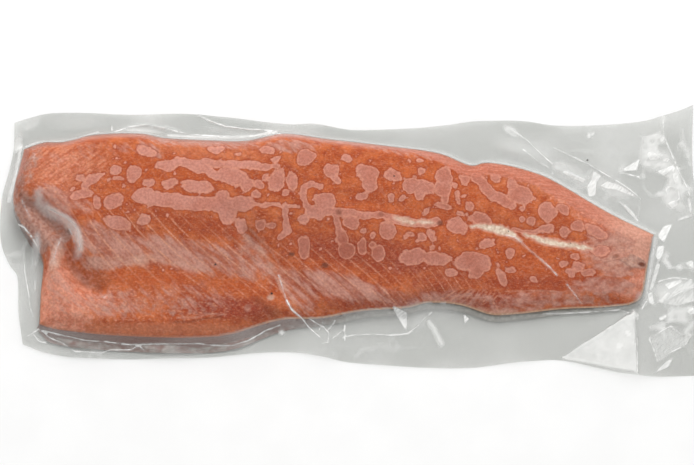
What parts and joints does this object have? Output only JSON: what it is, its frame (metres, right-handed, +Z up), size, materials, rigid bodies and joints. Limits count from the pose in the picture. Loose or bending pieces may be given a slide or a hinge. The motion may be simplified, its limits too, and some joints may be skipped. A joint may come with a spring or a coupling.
{
  "type": "vacuum-packed salmon fillet",
  "caption": "Side of salmon sealed under vacuum in a clear film pouch, lying flesh side up: a long low mound with the fillet's form, ringed by a thin wavy margin of film.",
  "frame": {"origin": "under the middle of the pouch's box, on the surface that the pack lies on", "axes": "+X along the fillet from the head end to the tail, +Y from the belly edge to the back edge, +Z up, flesh side up"},
  "size_m": [0.5094, 0.2052, 0.0276],
  "materials": {
    "salmon_in_film": "orange salmon flesh under clinging clear film, glossy",
    "clear_film": "clear, slightly grey vacuum film, glossy"
  },
  "bodies": {
    "root": {"sealed_pouch": "salmon_in_film"}
  },
  "joints": []
}
